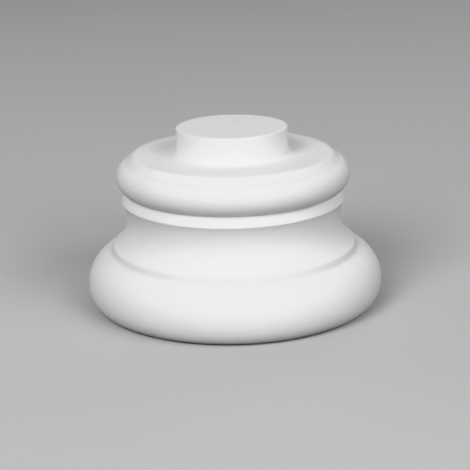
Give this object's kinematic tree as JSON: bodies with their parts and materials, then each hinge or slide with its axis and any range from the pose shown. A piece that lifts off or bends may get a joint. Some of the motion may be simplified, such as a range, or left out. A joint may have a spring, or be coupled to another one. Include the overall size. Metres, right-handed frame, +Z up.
{
  "type": "column base",
  "caption": "Round moulded column base: a wide lower torus, a scotia and an upper torus parted by fillets, with a flat shaft seat and a centring spigot.",
  "frame": {"origin": "middle of the flat underside, where the base stands on the floor or plinth", "axes": "+Z up along the column's axis; the piece is round, so X and Y are any two level directions"},
  "size_m": [0.3599, 0.36, 0.2137],
  "materials": {
    "white_casting": "matt white primer on a smooth moulded casting"
  },
  "bodies": {
    "root": {"column_base": "white_casting"}
  },
  "joints": []
}
